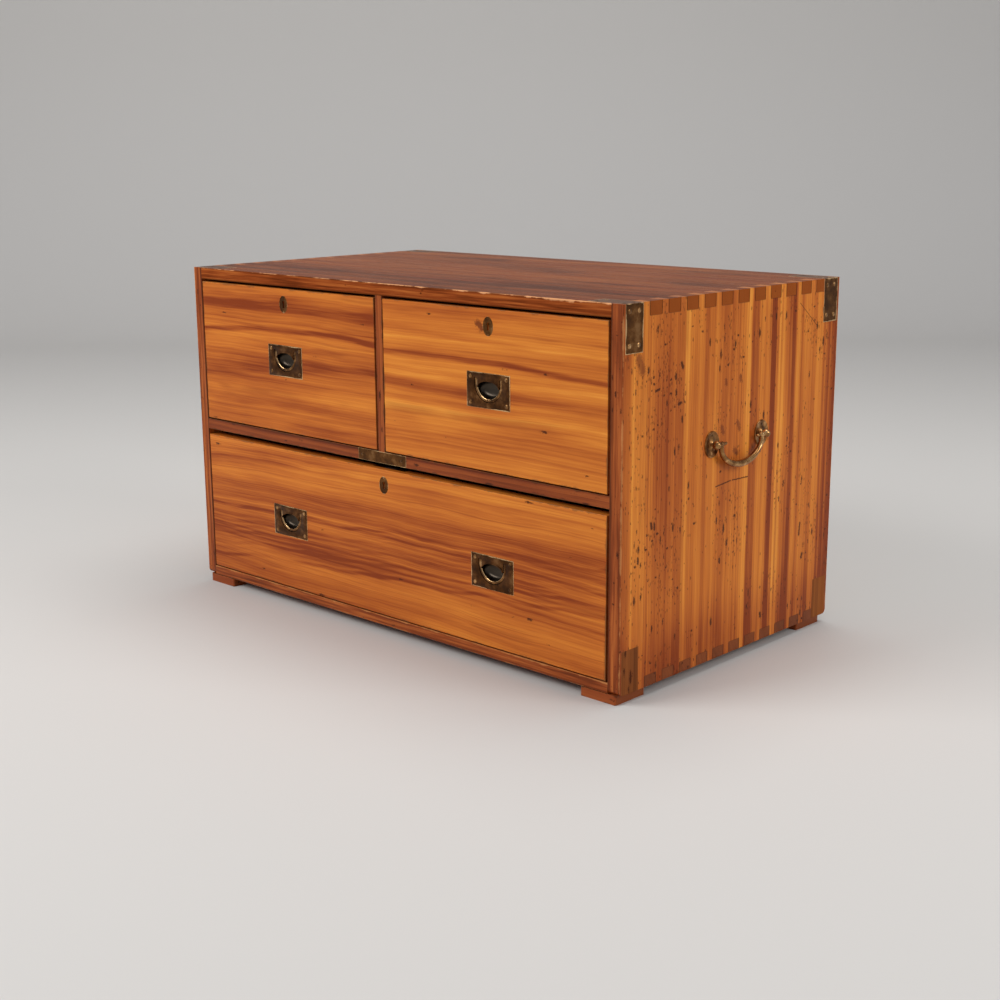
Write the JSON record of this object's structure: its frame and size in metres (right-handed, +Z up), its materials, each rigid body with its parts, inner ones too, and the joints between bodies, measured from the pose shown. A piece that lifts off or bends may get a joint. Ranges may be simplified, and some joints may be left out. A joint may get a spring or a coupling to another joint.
{
  "type": "campaign chest",
  "caption": "Low dovetailed campaign chest on block feet, with short drawers over a long drawer, recessed brass pulls, brass corner plates and a drop handle on each end.",
  "frame": {"origin": "on the floor, under the middle of the chest", "axes": "+X to the right of someone who faces the drawers, -Y is the drawer front, +Z up"},
  "size_m": [0.9344, 0.508, 0.534],
  "materials": {
    "camphor_wood": "waxed, worn",
    "lining_wood": "bare",
    "patch_wood": "waxed",
    "foot_wood": "stained",
    "aged_brass": "dark patina",
    "lock_brass": "dull",
    "lock_steel": "dull"
  },
  "bodies": {
    "case": {"side_left": "camphor_wood", "side_right": "camphor_wood", "top_panel": "camphor_wood", "bottom_panel": "camphor_wood", "back_boards": "lining_wood", "mid_rail": "camphor_wood", "centre_partition": "camphor_wood", "side_runners": "lining_wood", "centre_runner": "lining_wood", "dust_panels": "lining_wood", "drawer_stops": "lining_wood", "foot_front_left": "foot_wood", "foot_front_right": "foot_wood", "foot_rear_left": "foot_wood", "foot_rear_right": "foot_wood", "corner_plate_front_left": "aged_brass", "corner_plate_front_right": "aged_brass", "corner_plate_rear_left": "aged_brass", "corner_plate_rear_right": "aged_brass", "corner_patches": "patch_wood", "rail_strap": "aged_brass", "handle_roses": "aged_brass", "handle_posts": "aged_brass", "handle_nuts": "aged_brass"},
    "drawer_left": {"drawer_left_front": "camphor_wood", "drawer_left_side_left": "lining_wood", "drawer_left_side_right": "lining_wood", "drawer_left_back": "lining_wood", "drawer_left_bottom": "lining_wood", "drawer_left_key_plate": "aged_brass", "drawer_left_lock_case": "lock_brass", "drawer_left_pull_plate": "aged_brass"},
    "drawer_left_lock_bolt": {"drawer_left_lock_bolt": "lock_steel"},
    "drawer_left_pull_bail": {"drawer_left_pull_bail": "aged_brass"},
    "drawer_right": {"drawer_right_front": "camphor_wood", "drawer_right_side_left": "lining_wood", "drawer_right_side_right": "lining_wood", "drawer_right_back": "lining_wood", "drawer_right_bottom": "lining_wood", "drawer_right_key_plate": "aged_brass", "drawer_right_lock_case": "lock_brass", "drawer_right_pull_plate": "aged_brass"},
    "drawer_right_lock_bolt": {"drawer_right_lock_bolt": "lock_steel"},
    "drawer_right_pull_bail": {"drawer_right_pull_bail": "aged_brass"},
    "drawer_long": {"drawer_long_front": "camphor_wood", "drawer_long_side_left": "lining_wood", "drawer_long_side_right": "lining_wood", "drawer_long_back": "lining_wood", "drawer_long_bottom": "lining_wood", "drawer_long_key_plate": "aged_brass", "drawer_long_lock_case": "lock_brass", "drawer_long_pull_plate_left": "aged_brass", "drawer_long_pull_plate_right": "aged_brass"},
    "drawer_long_lock_bolt": {"drawer_long_lock_bolt": "lock_steel"},
    "drawer_long_pull_bail_left": {"drawer_long_pull_bail_left": "aged_brass"},
    "drawer_long_pull_bail_right": {"drawer_long_pull_bail_right": "aged_brass"},
    "carry_handle_left": {"carry_handle_left": "aged_brass"},
    "carry_handle_right": {"carry_handle_right": "aged_brass"}
  },
  "joints": [
    {"name": "drawer_left_slide", "type": "slide", "parent": "case", "child": "drawer_left", "axis": [0, -1, 0], "range_m": [0, 0.36]},
    {"name": "drawer_left_lock_bolt_throw", "type": "slide", "parent": "drawer_left", "child": "drawer_left_lock_bolt", "axis": [0, 0, 1], "range_m": [0, 0.008]},
    {"name": "drawer_left_pull_bail_swing", "type": "hinge", "parent": "drawer_left", "child": "drawer_left_pull_bail", "pos_m": [-0.2232, -0.2518, 0.41395], "axis": [-1, 0, 0], "range_deg": [0, 90]},
    {"name": "drawer_right_slide", "type": "slide", "parent": "case", "child": "drawer_right", "axis": [0, -1, 0], "range_m": [0, 0.36]},
    {"name": "drawer_right_lock_bolt_throw", "type": "slide", "parent": "drawer_right", "child": "drawer_right_lock_bolt", "axis": [0, 0, 1], "range_m": [0, 0.008]},
    {"name": "drawer_right_pull_bail_swing", "type": "hinge", "parent": "drawer_right", "child": "drawer_right_pull_bail", "pos_m": [0.2163, -0.2518, 0.41395], "axis": [-1, 0, 0], "range_deg": [0, 90]},
    {"name": "drawer_long_slide", "type": "slide", "parent": "case", "child": "drawer_long", "axis": [0, -1, 0], "range_m": [0, 0.36]},
    {"name": "drawer_long_lock_bolt_throw", "type": "slide", "parent": "drawer_long", "child": "drawer_long_lock_bolt", "axis": [0, 0, 1], "range_m": [0, 0.0135]},
    {"name": "drawer_long_pull_bail_left_swing", "type": "hinge", "parent": "drawer_long", "child": "drawer_long_pull_bail_left", "pos_m": [-0.2246, -0.2518, 0.1552], "axis": [-1, 0, 0], "range_deg": [0, 90]},
    {"name": "drawer_long_pull_bail_right_swing", "type": "hinge", "parent": "drawer_long", "child": "drawer_long_pull_bail_right", "pos_m": [0.2214, -0.2518, 0.1552], "axis": [-1, 0, 0], "range_deg": [0, 90]},
    {"name": "carry_handle_left_swing", "type": "hinge", "parent": "case", "child": "carry_handle_left", "pos_m": [-0.4615, 0, 0.327], "axis": [0, 1, 0], "range_deg": [-5, 170]},
    {"name": "carry_handle_right_swing", "type": "hinge", "parent": "case", "child": "carry_handle_right", "pos_m": [0.4615, 0, 0.327], "axis": [0, -1, 0], "range_deg": [-5, 170]}
  ]
}
